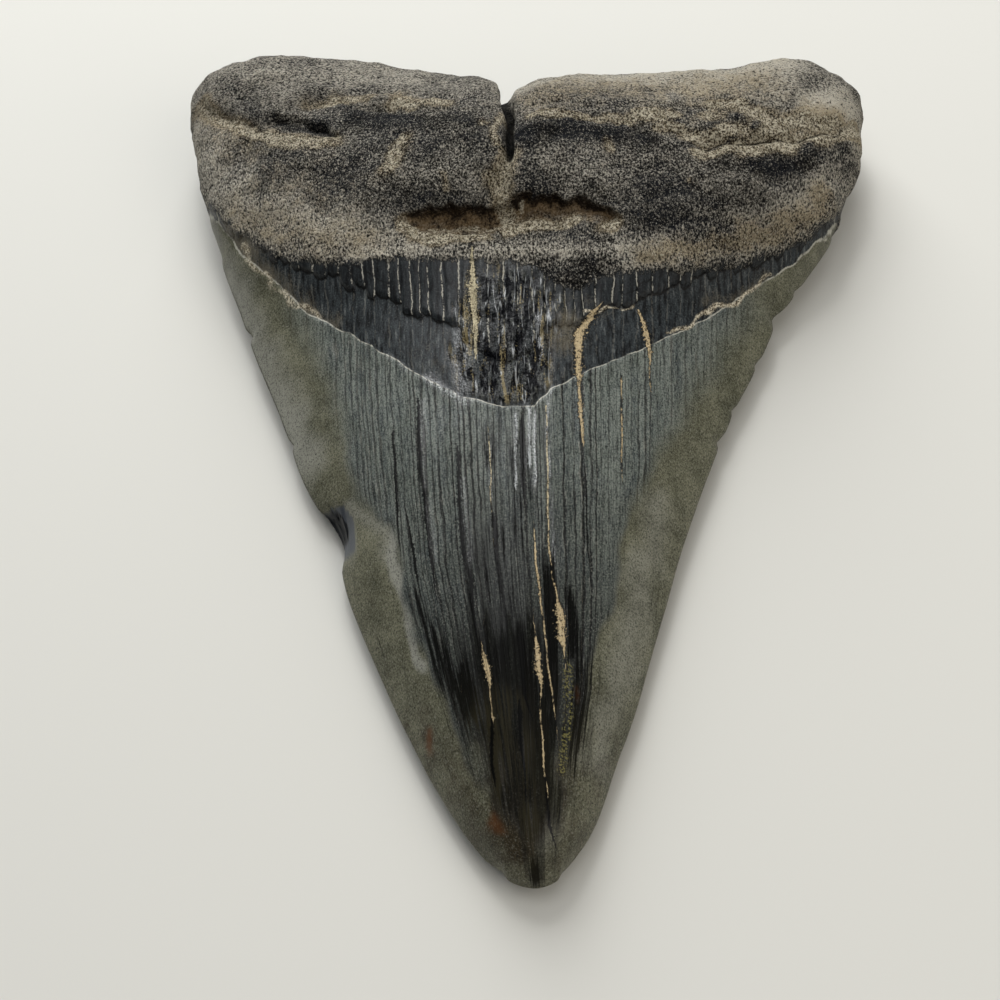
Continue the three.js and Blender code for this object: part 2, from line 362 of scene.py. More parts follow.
        ([(-10, 40), (-8, 32)], 5, 0.2),
        ([(10, 31), (34, 32)], 4, 0.3),
    ],
    # where the root is bare and dark
    "bare": [
        ([(-36, 48), (-32.2, 46), (-29, 44.6)], 1.3, 0.9),
        ([(-24, 45.4), (-16.4, 43), (-10, 40.6), (-4, 39.4)], 2.4, 1),
        ([(2.5, 37.4), (8, 38.2), (14, 38.6), (20, 38.2)], 2.2, 1),
        ([(28, 41.4), (33, 43.4), (36, 42.8)], 1.2, 0.3),
        ([(6.4, 15.6), (9.6, 14.8), (13, 17)], 2.6, 1),
        ([(28, 33), (36.4, 35.6), (42.5, 38.2), (50, 43.4)], 2.4, 0.9),
        ([(-20, 30), (-14, 29), (-7, 28.6)], 2.2, 0.5),
        ([(3, 30), (9, 30), (15, 28.4)], 2.2, 0.6),
        ([(-8, 20.4), (2, 21), (14, 21)], 1.6, 0.45),
        ([(20, 31), (34, 30)], 5, 0.7),
        ([(-15, 37), (-6, 35)], 4, 0.55),
        ([(-27, 36), (-18, 32)], 4, 0.4),
        ([(19.5, 24.4), (26, 24.8), (32, 26.4)], 2.6, 0.85),
        ([(-40, 44), (-30, 38)], 4, 0.3),
    ],
    # dark stain in the blade's middle: path, reach, strength, as in the lists below
    "stains": [
        ([(2, -20), (1, -32), (1, -42)], 3.4, 0.5),
        ([(-1, -36), (2, -46), (4, -58)], 5, 0.55),
        ([(-8, -35), (-4.8, -44), (-2, -51)], 1.7, 0.8),
        ([(-3.8, -41), (-1, -50)], 1.4, 0.95),
        ([(-0.4, -45), (0.8, -52), (1.6, -60)], 0.9, 0.95),
        ([(1.2, -38), (1.8, -46)], 1, 0.8),
        ([(3, -37), (4.3, -43), (4.8, -49), (5.4, -58)], 1, 1.05),
        ([(6.9, -26), (7.3, -35), (7.4, -42), (7.8, -49)], 0.9, 1.15),
        ([(9.2, -31), (9.9, -37), (9.8, -42)], 0.8, 1),
        ([(6.4, -46), (6.6, -54), (7.4, -61)], 0.9, 0.9),
        ([(11.4, -36), (11, -47), (9.6, -56)], 1.7, 0.75),
        ([(-10.4, -30), (-7.2, -40)], 1.3, 0.7),
        ([(3, -9), (3.8, -24)], 1.4, 0.65),
        ([(-1.7, -5.6), (-0.3, -16)], 2.6, 0.5),
        ([(-3.3, -25), (-2.4, -38)], 0.9, 0.6),
        ([(5, -59), (6, -64)], 1.6, 0.7),
        ([(6, -68), (5.8, -65)], 0.9, 0.95),
    ],
    # the blade's lower middle made darker: partly its own dark colour, partly painted shade where little
    # light reflects
    "gloom": [
        ([(0, -30), (2.4, -42)], 9, 0.5),
        ([(2, -41), (4, -50)], 8, 1),
        ([(4, -50), (5, -58)], 5, 1),
        ([(5, -58), (6, -64)], 3, 0.5),
        ([(2, -12), (1.5, -30)], 5, 0.36),
    ],
    # where the worn margins are palest: partly their wear, partly painted light on the margins' slopes and
    # a painted highlight along the crease beside the striated middle
    "pale": [
        ([(-20.5, -15), (-15.5, -21), (-13.2, -26)], 1.8, 0.7),
        ([(-14.4, -22), (-13, -28), (-10.6, -35.5), (-8.4, -41)], 0.9, 1.25),
        ([(-44, 25), (-36, 8), (-29, -6)], 5, 0.9),
        ([(21, -16), (17.5, -34), (13, -52)], 3.2, 0.62),
        ([(-9, -52), (-4, -60)], 1.4, 0.35),
        ([(6.5, -62.5), (7.5, -64.5)], 1.5, 0.45),
    ],
    # where the blade and its stain are browner
    "warmth": [
        ([(1, -48), (3, -57), (4, -63)], 4.2, 0.9),
        ([(9, -52), (8.6, -60)], 1.8, 0.6),
        ([(-9, -46), (-6, -52), (-1, -60)], 2.4, 0.55),
        ([(12.5, -30), (12, -40)], 2, 0.25),
        ([(-17, -30), (-13, -40)], 3, 0.3),
    ],
    # places rubbed to a glaze, which catch the lamp, with painted glints drawn on them as pale streaks
    "glaze": [
        ([(-5.6, 7), (-5.4, -2.5)], 1.1, 1),
        ([(-10, -0.5), (-6.5, -3.8), (-4.5, -5.5)], 0.8, 0.8),
        ([(2.3, -7.4), (2.6, -18.5)], 0.3, 1.2),
        ([(4.1, -6.4), (4.3, -15.6)], 0.35, 1.3),
        ([(4.9, -7), (5.1, -18.4)], 0.28, 1.2),
        ([(6.9, -3.6), (6.4, -9), (6.9, -17)], 0.25, 1),
        ([(5, 8), (5.6, 2)], 0.5, 0.8),
        ([(-10.6, -4), (-10, -12), (-9.4, -17)], 0.35, 0.7),
        ([(-8.9, -19), (-7.5, -28)], 0.3, 0.65),
        ([(-4.4, -17), (-3, -29)], 0.35, 0.75),
        ([(-0.9, -12.6), (-0.5, -20)], 0.2, 1),
        ([(7.1, -18), (7.7, -29)], 0.22, 0.75),
    ],
    # a streak of brassy grains
    "brass": [([(9.4, -42), (9.6, -48), (8.9, -55)], 0.6, 0.9), ([(9, -40), (9.2, -43)], 0.35, 0.7)],
    # spots of rust
    "rust": [
        ([(-7.6, -48), (-7, -50.4)], 0.7, 0.8),
        ([(1, -61), (1.6, -62.2)], 0.9, 0.7),
        ([(10.6, -44), (10.8, -46)], 0.5, 0.4),
    ],
    # a thin dull film over the collar's gloss
    "film": [
        ([(-44, 33), (-39, 26.4), (-32.5, 18.4), (-26, 11.4)], 2.6, 0.8),
        ([(8, 4.6), (9.4, 7.4)], 2.6, 0.75),
        ([(-9, 6), (-12, 3), (-8, 0.5)], 2.6, 0.35),
        ([(28, 15.5), (38, 22.5)], 1.5, 0.55),
        ([(10, 12.5), (14, 10)], 1.6, 0.4),
    ],
    # where silt clings to the collar and crown
    "collarSilt": [
        ([(-41, 29), (-36, 23), (-31, 17.8), (-27, 14.5)], 0.7, 0.7),
        ([(23, 9.6), (30.5, 16.3), (38, 23)], 0.5, 0.8),
        ([(11.6, 9.4), (14, 11.2), (18.6, 12.4)], 0.3, 0.85),
    ],
}


def fineCopy(node):
    # a merged copy of the CAD solid, its triangles joined in fours, made smooth by two subdivisions
    mesh = node.data.copy()
    mesh.materials.clear()
    bm = bmesh.new()
    bm.from_mesh(mesh)
    bmesh.ops.remove_doubles(bm, verts=bm.verts, dist=0.001 * mm)
    anyAngle = 3.1  # radians, so that any two triangles may join
    bmesh.ops.join_triangles(bm, faces=bm.faces, angle_face_threshold=anyAngle,
                             angle_shape_threshold=anyAngle)
    crease = bm.edges.layers.float.new("crease_edge")
    for edge in bm.edges:
        isRim = edge.calc_face_angle(0) > math.radians(tooth["rimAngle"])
        edge[crease] = tooth["rimCrease"] if isRim else 0
    print("base faces", len(bm.faces), "of them triangles", sum(len(f.verts) == 3 for f in bm.faces))
    bm.to_mesh(mesh)
    bm.free()
    piece = bpy.data.objects.new("fossilTooth", mesh)
    bpy.context.scene.collection.objects.link(piece)
    smoothing = piece.modifiers.new("smoothing", "SUBSURF")
    smoothing.levels = tooth["smoothings"]
    smoothing.render_levels = tooth["smoothings"]
    dense = bpy.data.meshes.new_from_object(piece.evaluated_get(bpy.context.evaluated_depsgraph_get()))
    piece.modifiers.clear()
    piece.data = dense
    return piece


def inDetailZone(x, y, z):
    # the parts of the upper face with the smallest shapes
    point = np.array([x])
    onCollar = lineAt(tooth["crownEdge"], point)[0] - 1 < y < lineAt(tooth["rootFoot"], point)[0] + 0.5
    boxes = tooth["fineBoxes"].values()
    inBox = any(left < x < right and low < y < high for left, right, low, high in boxes)
    return z > 5 and (onCollar or inBox)


def refine(piece):
    bm = bmesh.new()
    bm.from_mesh(piece.data)
    chosen = set()
    for face in bm.faces:
        middle = face.calc_center_median() / mm
        if face.normal.z > 0.2 and inDetailZone(*middle):
            chosen.update(face.edges)
    bmesh.ops.subdivide_edges(bm, edges=list(chosen), cuts=1, use_grid_fill=True)
    bmesh.ops.triangulate(bm, faces=[f for f in bm.faces if len(f.verts) > 4])
    bm.to_mesh(piece.data)
    bm.free()
    piece.data.shade_smooth()
    print("fine triangles", sum(len(p.vertices) - 2 for p in piece.data.polygons))


def readPlaces(mesh):
    places = np.empty(len(mesh.vertices) * 3)
    mesh.vertices.foreach_get("co", places)
    normals = np.empty(len(mesh.vertices) * 3)
    mesh.vertices.foreach_get("normal", normals)
    return places.reshape(-1, 3) / mm, normals.reshape(-1, 3)


def fanOut(x, y):
    # the growth lines run nearly straight down the tooth and draw together towards the tip
    return (x - lineAt(tooth["growthAxis"], y)) / lineAt(tooth["growthSpread"], y)


def unevenRun(fan, spacing, spread, seed):
    # a measure along the collar that is a whole number at each of a row of unevenly spaced lines
    rng = np.random.default_rng(seed)
    count = tooth["runLines"]
    lines = np.cumsum(spacing * rng.uniform(1 - spread, 1 + spread, count))
    return np.interp(fan, lines - lines[count // 2], np.arange(count))


def spots(entries, x, y, taper=0):
    # how strongly a list of (path, reach, strength) marks each place, less at the paths' ends by the taper
    share = np.zeros(len(x))
    for path, reach, strength in entries:
        gap, along = pathGap(path, x, y)
        share = np.maximum(share, strength * bump(gap, reach) * (1 - taper * np.abs(2 * along - 1) ** 3))
    return share


def surfaceFields(places, normals):
    # what each place on the skin is: distances and shares that the sculpting and the material share
    x, y = places[:, 0], places[:, 1]
    f = {}
    f["upper"] = ease(normals[:, 2], -0.25, 0.25)
    f["fan"] = fanOut(x, y)
    wander = lumps(places, 2.2, 1) * 0.35
    flatGap = lineGap(tooth["flatFoot"], x, y)
    f["rootGap"] = flatGap + (lineGap(tooth["rootFoot"], x, y) - flatGap) * f["upper"] + wander
    f["collarGap"] = flatGap + (lineGap(tooth["crownEdge"], x, y) - flatGap) * f["upper"] + wander * 0.5
    swayed = f["fan"] + lumps(places, 4, 2) * 0.25
    f["plates"] = unevenRun(swayed, tooth["plateWidth"], tooth["plateSpread"], 12)
    f["strand"] = unevenRun(f["fan"], tooth["strandWidth"], tooth["strandSpread"], 31)
    drops = np.random.default_rng(23).uniform(-tooth["plateDrop"], tooth["plateDrop"], tooth["runLines"])
    plate = np.floor(f["plates"]).astype(int).clip(0, tooth["runLines"] - 1)
    f["stepGap"] = lineGap(tooth["collarStep"], x, y) + drops[plate]
    inside = np.minimum(x - lineAt(tooth["coreLeft"], y), lineAt(tooth["coreRight"], y) - x)
    f["coreGap"] = inside + lumps(places, 5, 3) * 0.8
    softness = lineAt(tooth["coreSoftness"], y)
    f["core"] = ease(f["coreGap"] / softness, -0.5, 1) * ease(y + lumps(places, 3, 16) * 3, -62, -47)
    f["shade"] = ease(-y, 2, 46) * (0.45 + 0.55 * bump(f["fan"] - 2.5, 17)) * f["upper"]
    sway = lumps(places, 2.5, 15) * 1.6
    left, right, top = tooth["ridgeZone"]
    f["ridges"] = ease(x + sway, *left) * (1 - ease(x + sway, *right)) * (1 - ease(y + sway, *top))
    f["ridges"] = f["ridges"] * ease(f["collarGap"], 0, 1)
    warpX = x + lumps(places, 3.5, 40) * 0.8
    warpY = y + lumps(places, 3.5, 41) * 0.8
    f["silt"] = spots(tooth["silt"], warpX, warpY) * f["upper"] * ease(f["rootGap"], -1, 1)
    # less dust and sheen on the faces turned to the back: painted shade against the window light behind
    shown = f["upper"] * (1 - 0.75 * ease(normals[:, 1], 0.45, 0.85))
    f["back"] = ease(normals[:, 1], 0.7, 0.95)
    f["dust"] = spots(tooth["dust"], warpX, warpY) * shown - spots(tooth["bare"], warpX, warpY) * f["upper"]
    f["collarSilt"] = spots(tooth["collarSilt"], warpX, warpY) * f["upper"]
    f["film"] = spots(tooth["film"], warpX, warpY) * f["upper"]
    f["stain"] = spots(tooth["stains"], x, y, 0.7) * (0.3 + 0.7 * f["upper"])
    f["gloom"] = spots(tooth["gloom"], warpX, warpY) * f["upper"]
    f["warm"] = np.maximum(spots(tooth["warmth"], warpX, warpY), 0.45 * ease(-y, 25, 55))
    f["pale"] = spots(tooth["pale"], warpX, warpY) * f["upper"]
    f["rust"] = spots(tooth["rust"], warpX, warpY) * f["upper"]
    f["brass"] = spots(tooth["brass"], x, y) * f["upper"]
    f["glaze"] = spots(tooth["glaze"], x, y) * f["upper"]
    f["crackHalf"] = np.zeros(len(x))
    for kind in ("siltCracks", "bareCracks"):
        for i, crack in enumerate(tooth[kind]):
            centre = lineAt([(p[0], p[1]) for p in crack], y) + lumps(places, 3, 20 + i) * 0.12
            half = lineAt([(p[0], p[2]) for p in crack], y)
            half = np.where((y > crack[0][0]) | (y < crack[-1][0]), 0, half)
            share = (x - centre) / np.maximum(half, tooth["crackThinnest"])
            f[f"{kind}{i}"] = share + (1 - f["upper"]) * tooth["crackFade"]
            if kind == "siltCracks":
                f["crackHalf"] = np.maximum(f["crackHalf"], half * bump(x - centre, 1.5))
    return f


def hollowShare(x, y):
    # 0 at the hollow's upper edge, 1 at its lower lip, and how far inside its ends a place is
    top, lip = lineAt(tooth["hollowTop"], x), lineAt(tooth["hollowLip"], x)
    share = (top - y) / np.maximum(top - lip, 0.2)
    left, right = tooth["hollowEnds"]
    ends = ease(x, *left) * (1 - ease(x, *right))
    return share, ends


def sculptedHeight(places, f):
    # how far each place moves out along its normal, in mm
    x, y = places[:, 0], places[:, 1]
    up = f["upper"]
    onRoot = ease(f["rootGap"], -0.35, 0.45)
    height = tooth["rootRise"] * onRoot * (0.4 + 0.6 * up)

    plates = ease(f["stepGap"], -0.3, 0.3) * (1 - onRoot) * up * ease(f["collarGap"], 0, 0.8)
    height += tooth["plateRise"] * plates
    toGroove = np.abs(f["plates"] - np.round(f["plates"])) * tooth["plateWidth"]
    grooveHalf, grooveDepth = tooth["plateGroove"]
    height -= grooveDepth * (1 - ease(toGroove, 0, grooveHalf)) * plates

    lip = bump(f["collarGap"] + 0.4, 0.4) - bump(f["collarGap"] - 0.15, 0.3)
    height += tooth["lipRise"] * lip * up

    fold = tooth["foldRise"] * (1 - np.abs(lumps(places, tooth["foldWidth"], 4, (1, 5, 5))))
    height += (fold - tooth["foldSink"] + 0.15 * lumps(places, 1.6, 14)) * f["ridges"] * up
    ripple = tooth["bladeRipple"] * lumps(places, 1.6, 5, (1, 9, 9))
    height += ripple * ease(f["coreGap"], 0, 3) * (f["collarGap"] < 0) * up

    share, ends = hollowShare(x, y)
    share = share + lumps(places, 1.5, 6) * 0.12
    bowl = ease(share, -0.04, 0.12) * (1 - ease(share, 0.2, 1.02)) * ends
    height -= tooth["hollowDepth"] * bowl * up
    f["hollow"] = bowl * up
    # painted shade on the hollow's overhanging upper wall, used by the material
    f["wall"] = ease(share, -0.1, 0.02) * (1 - ease(share, 0.06, 0.36)) * ends * up

    centre = lineAt([(p[0], p[1]) for p in tooth["cleft"]], y) + lumps(places, 3, 7) * 0.2
    half = lineAt([(p[0], p[2]) for p in tooth["cleft"]], y)
    depth = lineAt([(p[0], p[3]) for p in tooth["cleft"]], y)
    slit = bump(x - centre, half) * ease(y, 24.5, 27.5)
    height -= depth * slit * up
    # also how strongly the material paints shade deep in the cleft
    f["cleft"] = slit * up * ease(depth, 1, 3)

    shadow = np.zeros(len(x))
    warpX = x + lumps(places, 2.5, 42) * 0.5
    warpY = y + lumps(places, 2.5, 43) * 0.7
    for path, drop, below, above in tooth["ledges"]:
        gap, along = pathGap(path, warpX, warpY)
        side = np.where(warpY > lineAt(path, warpX), above, below)
        ends = ease(along, 0, 0.12) * (1 - ease(along, 0.88, 1))
        groove = bump(gap, side) * (0.35 + 0.65 * ends) * (1 + 0.35 * lumps(places, 2.5, 8))
        height -= drop * groove * up
        shadow = np.maximum(shadow, 0.6 * bump(gap, 0.35) * ends * drop)
    # painted shadow: how dark the material makes the crevices under the shelves
    f["crevice"] = shadow * up

    for place, reach, rise in tooth["knobs"]:
        knob = bump(np.hypot(warpX - place[0], warpY - place[1]), reach) * up
        height += rise * knob
        f["silt"] = f["silt"] * (1 - 0.9 * knob)

    rough = sum(rise * lumps(places, lump, seed, thin) for rise, lump, seed, thin in tooth["rootLumps"])
    height += rough * onRoot * (1 - 0.6 * f["hollow"])
    height += tooth["crownWave"] * lumps(places, 9, 12) * (1 - onRoot)

    height += tooth["coreRise"] * f["core"] * (1 - ease(y, -14, 6)) * up
    return height


def biteEdges(places, f):
    # small chips: the cutting edge moves inwards and the faces beside it thin down
    x, y, z = places.T
    for (atX, atY), reach, bite in tooth["nicks"]:
        near = bump(np.hypot(x - atX, y - atY), reach)
        places[:, 0] -= math.copysign(bite, atX) * near
    # the big chip: a shell-shaped facet, cut down from a ridge, that bites into the outline
    along = (tooth["chipStart"] - y) / tooth["chipLength"]
    inside = ease(along, -0.02, 0.08) * (1 - ease(along, 0.5, 1.05))
    ridge = lineAt(tooth["chipRidge"], y)
    onRidge = (np.abs(x - ridge) < 0.5) & (f["upper"] > 0.9) & (inside > 0)
    order = np.argsort(y[onRidge])
    crest = np.interp(y, y[onRidge][order], z[onRidge][order])
    away = (ridge - x).clip(0)
    cut = np.maximum(crest - tooth["chipSlope"] * away + tooth["chipCurve"] * away ** 2, tooth["chipFoot"])
    places[:, 2] = z + (np.minimum(z, cut) - z) * inside * (away > 0)
    places[:, 0] += tooth["chipBite"] * inside * ease(away, 1.2, 3.2)
    f["chip"] = ease(away, 0, 0.5) * inside * ease(places[:, 2], 1.2, 2)
    f["chipDark"] = f["chip"] * ease(away, 0.9, 1.6) * ease(y, -20.5, -18)
    return places


def sculpt(piece):
    mesh = piece.data
    places, normals = readPlaces(mesh)
    f = surfaceFields(places, normals)
    height = sculptedHeight(places, f)
    places = places + normals * height[:, None]
    places = biteEdges(places, f)
    places[:, 2] = places[:, 2].clip(0)
    mesh.vertices.foreach_set("co", (places * mm).ravel())
    mesh.update()
    del f["upper"], f["coreGap"]  # only the sculpting needs these
    for name, values in f.items():
        mesh.attributes.new(name, "FLOAT", "POINT").data.foreach_set("value", values.astype(np.float32))
    print("sculpted, with", len(f), "fields")


piece = fineCopy(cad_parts["tooth"])
refine(piece)
sculpt(piece)

# Mineralised tooth: porous dentine on the root, glassy enameloid on the blade, silt in every opening.
finish = {
    "rootDark": "#121110",
    "rootBlue": "#17191d",
    "rootBrown": "#2b2217",
    "grainGrey": "#c2bcae",
    "grainWarm": "#b5a689",
    "grainPale": "#d8d1c0",
    "spark": "#d9d5c8",
    "silt": "#978c74",
    "siltPale": "#d6cdb6",
    "siltDark": "#2c2216",
    "crackFill": "#c6bb9b",
    "crackRust": "#b7a27c",
    "hollowFloor": "#867052",
    "hollowShade": "#1c1510",
    "collarDark": "#07080a",
    "collarGrey": "#33383a",
    "collarFleck": "#6a6d6b",
    "groove": "#a3a094",
    "rib": "#837757",
    "ridgeGrey": "#63645c",
    "pocket": "#05060a",
    "crest": "#a2a5a5",
    "film": "#6b6454",
    "bladeGrey": "#4a514b",
    "bladeBlue": "#41494c",
    "bladePale": "#7d837b",
    "bladeLine": "#0a0c0b",
    "bladeDeep": "#151713",
    # near black for stains, dark cracks and pits, and for painted shadow at the plates' step and in the
    # cleft and crevices
    "stainAndShadeBlack": "#060605",
    "bladeBrown": "#29261a",
    "bladeGloom": "#0a0a07",
    "margin": "#4b4b3a",
    "marginPale": "#74735f",
    "marginBrown": "#38301f",
    "wornAndHighlight": "#94948a",
    "chipGrey": "#474c54",
    "chipDark": "#101215",
    "edgeLineAndHighlight": "#b3b1a4",
    "paintedGlint": "#c0c4c4",
    "brass": "#716c40",
    "rust": "#5a3413",
}
# noise, as (lump size in mm, how little it is drawn out along X, Y and Z, octaves, roughness)
grownNoise = {  # along the blade's growth lines
    "wobble": (1.4, (1, 0.3, 1), 3, 0.6),
    "fade": (4, (1, 0.3, 1), 3, 0.6),
    "ragged": (0.3, (1, 0.55, 1), 3, 0.7),
    "fibre": (0.22, (1, 0.1, 1), 3, 0.6),
    "streak": (1.6, (1, 0.06, 1), 3, 0.6),
    "smear": (0.45, (1, 0.04, 1), 4, 0.65),
    "fleck": (0.5, (1, 0.15, 1), 3, 0.6),
    "vein": (0.9, (1, 0.12, 1), 3, 0.6),
    "crease": (1.1, (1, 0.1, 1), 2, 0.5),
    "dash": (1, (1, 0.5, 1), 3, 0.6),
    "pocket": (1.1, (1, 0.3, 1), 3, 0.6),
}
stillNoise = {  # all over
    "grit": (0.22, (1, 0.8, 1), 2, 0.7),
    "speck": (0.28, (1, 1, 1), 2, 0.5),
    "patches": (4, (1, 1, 1), 4, 0.6),
    "blotch": (2.4, (1, 1, 1), 4, 0.65),
    "uneven": (0.9, (1, 1, 1), 3, 0.5),
    "half": (0.5, (1, 1, 1), 3, 0.65),
    "filled": (1.2, (1, 1, 1), 3, 0.7),
    "porous": (0.27, (1, 0.8, 1), 3, 0.7),
    "upright": (0.26, (1, 0.5, 1), 3, 0.7),
    "level": (0.2, (0.5, 1, 1), 3, 0.7),
    "spark": (0.2, (1, 1, 1), 1, 0.5),
    "pits": (0.4, (1, 1, 1), 2, 0.6),
    "broad": (7, (1, 1, 1), 3, 0.6),
    "medium": (1.8, (1, 1, 1), 4, 0.65),
    "crumb": (0.7, (1, 1, 1), 3, 0.65),
}
gloss = {
    "ior": 1.55,
    "shine": 0.2,  # of the bare blade
    "roughness": 0.33,
    "reliefDepth": 0.25,  # mm
    "reliefStrength": 0.9,
}
times = {"operation": "MULTIPLY"}
mulAdd = {"operation": "MULTIPLY_ADD"}
minus = {"operation": "SUBTRACT"}
size = {"operation": "ABSOLUTE"}
larger = {"operation": "MAXIMUM"}
smaller = {"operation": "MINIMUM"}
soft = {"interpolation_type": "SMOOTHSTEP"}
colours = {"data_type": "RGBA"}


def bladePattern(add):
    # dark hairlines along the growth lines, some strong and some faint, which fade in and out
    strand = add("Math", ["wobble", 0.9, "strand"], **mulAdd)
    index = add("Math", [strand], operation="ROUND")
    toLine = add("Math", [add("Math", [strand, index], **minus)], **size)
    chance = add("TexWhiteNoise", [index], out="Value", noise_dimensions="1D")
    strength = add("Math", ["fade", 1.6, chance], **mulAdd)
    strength = add("MapRange", [strength, 0.8, 1.8], **soft)
    width = add("Math", ["ragged", 0.5, -0.15], **mulAdd)
    width = add("Math", [add("Math", [strength, 0.14, width], **mulAdd), 0.01], **larger)
    line = add("MapRange", [toLine, add("Math", [width, 0.4], **times), width, 1, 0], **soft)
    line = add("Math", [line, add("MapRange", [strength, 0, 0.7, 0.35, 0.95], **soft)], **times)
    stain = add("Math", ["smear", 2.4, "stain"], **mulAdd)
    stain = add("Math", ["ragged", 0.6, stain], **mulAdd)
    # a painted highlight: a pale flank beside the strong lines
    paintedFlankHighlight = add("MapRange", [toLine, width, add("Math", [width, 2.2], **times), 1, 0], **soft)
    paintedFlankHighlight = add("Math", [paintedFlankHighlight, add("MapRange", ["fleck", 0.52, 0.66], **soft)], **times)
    paintedFlankHighlight = add("Math", [paintedFlankHighlight, add("MapRange", [strength, 0.3, 0.9], **soft)], **times)
    return line, paintedFlankHighlight, add("MapRange", [stain, 1.72, 2.25], **soft)


def bladeColour(add, paint, line, paintedFlankHighlight, stain, gloom):
    light = add("Math", ["streak", 0.5, add("Math", ["grit", 0.3], **times)], **mulAdd)
    light = add("Math", ["fibre", 0.5, light], **mulAdd)
    fromMiddle = add("Math", [add("Math", ["fan", -2])], **size)
    lineShare = add("Math", [line, add("MapRange", [fromMiddle, 8, 26, 1, 0.45], **soft)], **times)
    striated = paint["bladeGrey"]
    for share, hue in (
        (add("MapRange", ["patches", 0.3, 0.7], **soft), paint["bladeBlue"]),
        (add("MapRange", [light, 0.45, 0.85], **soft), paint["bladePale"]),
        (add("MapRange", ["fibre", 0.5, 0.3, 0, 0.6], **soft), paint["bladeLine"]),
        (add("Math", ["shade", 0.85], **times), paint["bladeDeep"]),
        # painted highlight beside the lines
        (add("Math", [paintedFlankHighlight, 0.6], **times), paint["wornAndHighlight"]),
        (lineShare, paint["bladeLine"]),
    ):
        striated = add("Mix", [share, striated, hue], **colours)

    clouded = add("Math", ["patches", 0.7, add("Math", ["grit", 0.35], **times)], **mulAdd)
    brown = add("Math", ["blotch", 0.9, "warm"], **mulAdd)
    # paler where worn, with painted light on the margins' slopes and along the crease beside the striated
    # middle
    wornAndLit = add("Math", ["patches", 0.4, "pale"], **mulAdd)
    margin = paint["margin"]
    for share, hue in (
        (add("MapRange", [clouded, 0.33, 0.73], **soft), paint["marginPale"]),
        (add("MapRange", [brown, 0.75, 1.25], **soft), paint["marginBrown"]),
        (add("MapRange", [wornAndLit, 0.4, 1.3, 0, 0.85], **soft), paint["wornAndHighlight"]),
    ):
        margin = add("Mix", [share, margin, hue], **colours)

    stainHue = add("Mix", [add("MapRange", ["warm", 0.2, 0.9], **soft), paint["stainAndShadeBlack"],
                           paint["bladeBrown"]], **colours)
    # painted glints: pale streaks and specks on the glazed spots
    paintedGlint = add("Math", ["grit", "fleck"])
    paintedGlint = add("Math", [paintedGlint, 1.1, "glaze"], **mulAdd)
    grains = add("Math", ["brass", add("MapRange", ["speck", 0.5, 0.6], **soft)], **times)
    colour = margin
    for share, hue in (
        ("core", striated),
        (add("MapRange", ["grit", 0.52, 0.32, 0, 0.6], **soft), paint["bladeLine"]),
        (add("MapRange", ["grit", 0.52, 0.72, 0, 0.4], **soft), paint["wornAndHighlight"]),
        (add("MapRange", ["speck", 0.64, 0.7, 0, 0.8], **soft), paint["bladeLine"]),
        # the darker lower middle: partly its own colour, partly painted shade
        (add("Math", [gloom, add("MapRange", ["fibre", 0.38, 0.62, 0.76, 0.98])], **times),
         paint["bladeGloom"]),
        (add("Math", [stain, 0.95], **times), stainHue),
        (add("MapRange", [grains, 0.15, 0.6, 0, 0.85], **soft), paint["brass"]),
        (add("MapRange", ["rust", 0.1, 1, 0, 0.85], **soft), paint["rust"]),
        (add("MapRange", [paintedGlint, 1.8, 2.45, 0, 0.85], **soft), paint["paintedGlint"]),
        (add("MapRange", ["chip", 0.3, 0.8, 0, 0.9], **soft), paint["chipGrey"]),
        (add("MapRange", ["chipDark", 0.3, 0.8, 0, 0.95], **soft), paint["chipDark"]),
    ):
        colour = add("Mix", [share, colour, hue], **colours)
    return colour


def collarPattern(add):
    # upright plates, their silted grooves, the ragged step where they end, and cross joints at the sides
    plate = add("Math", ["uneven", 0.22, "plates"], **mulAdd)
    index = add("Math", [add("Math", [plate, 0.5])], operation="ROUND")
    toGroove = add("Math", [add("Math", [plate, add("Math", [plate], operation="ROUND")], **minus)], **size)
    chance = add("TexWhiteNoise", [index], out="Value", noise_dimensions="1D")
    step = add("Math", [toGroove, 0.7, add("Math", ["stepGap", -0.42])], **mulAdd)
    step = add("Math", ["half", 0.8, step], **mulAdd)
    width = add("Math", ["half", 0.2, -0.033], **mulAdd)
    width = add("Math", [width, 0.008], **larger)
    groove = add("MapRange", [toGroove, add("Math", [width, 0.5], **times), width, 1, 0], **soft)
    onPlates = add("MapRange", [step, -0.05, 0.05], **soft)
    toStep = add("Math", [add("Math", [step, 0.1])], **size)
    stepShade = add("MapRange", [toStep, 0.08, 0.26, 1, 0], **soft)
    joint = add("Math", [chance, -1.3, "stepGap"], **mulAdd)
    joint = add("Math", ["half", -0.8, joint], **mulAdd)
    toJoint = add("Math", [add("Math", [joint, -1])], **size)
    joint = add("MapRange", [toJoint, 0.05, 0.16, 1, 0], **soft)
    outwards = add("MapRange", [add("Math", ["fan"], **size), 13, 18], **soft)
    joint = add("Math", [add("Math", [joint, outwards], **times), onPlates], **times)
    return groove, onPlates, stepShade, joint


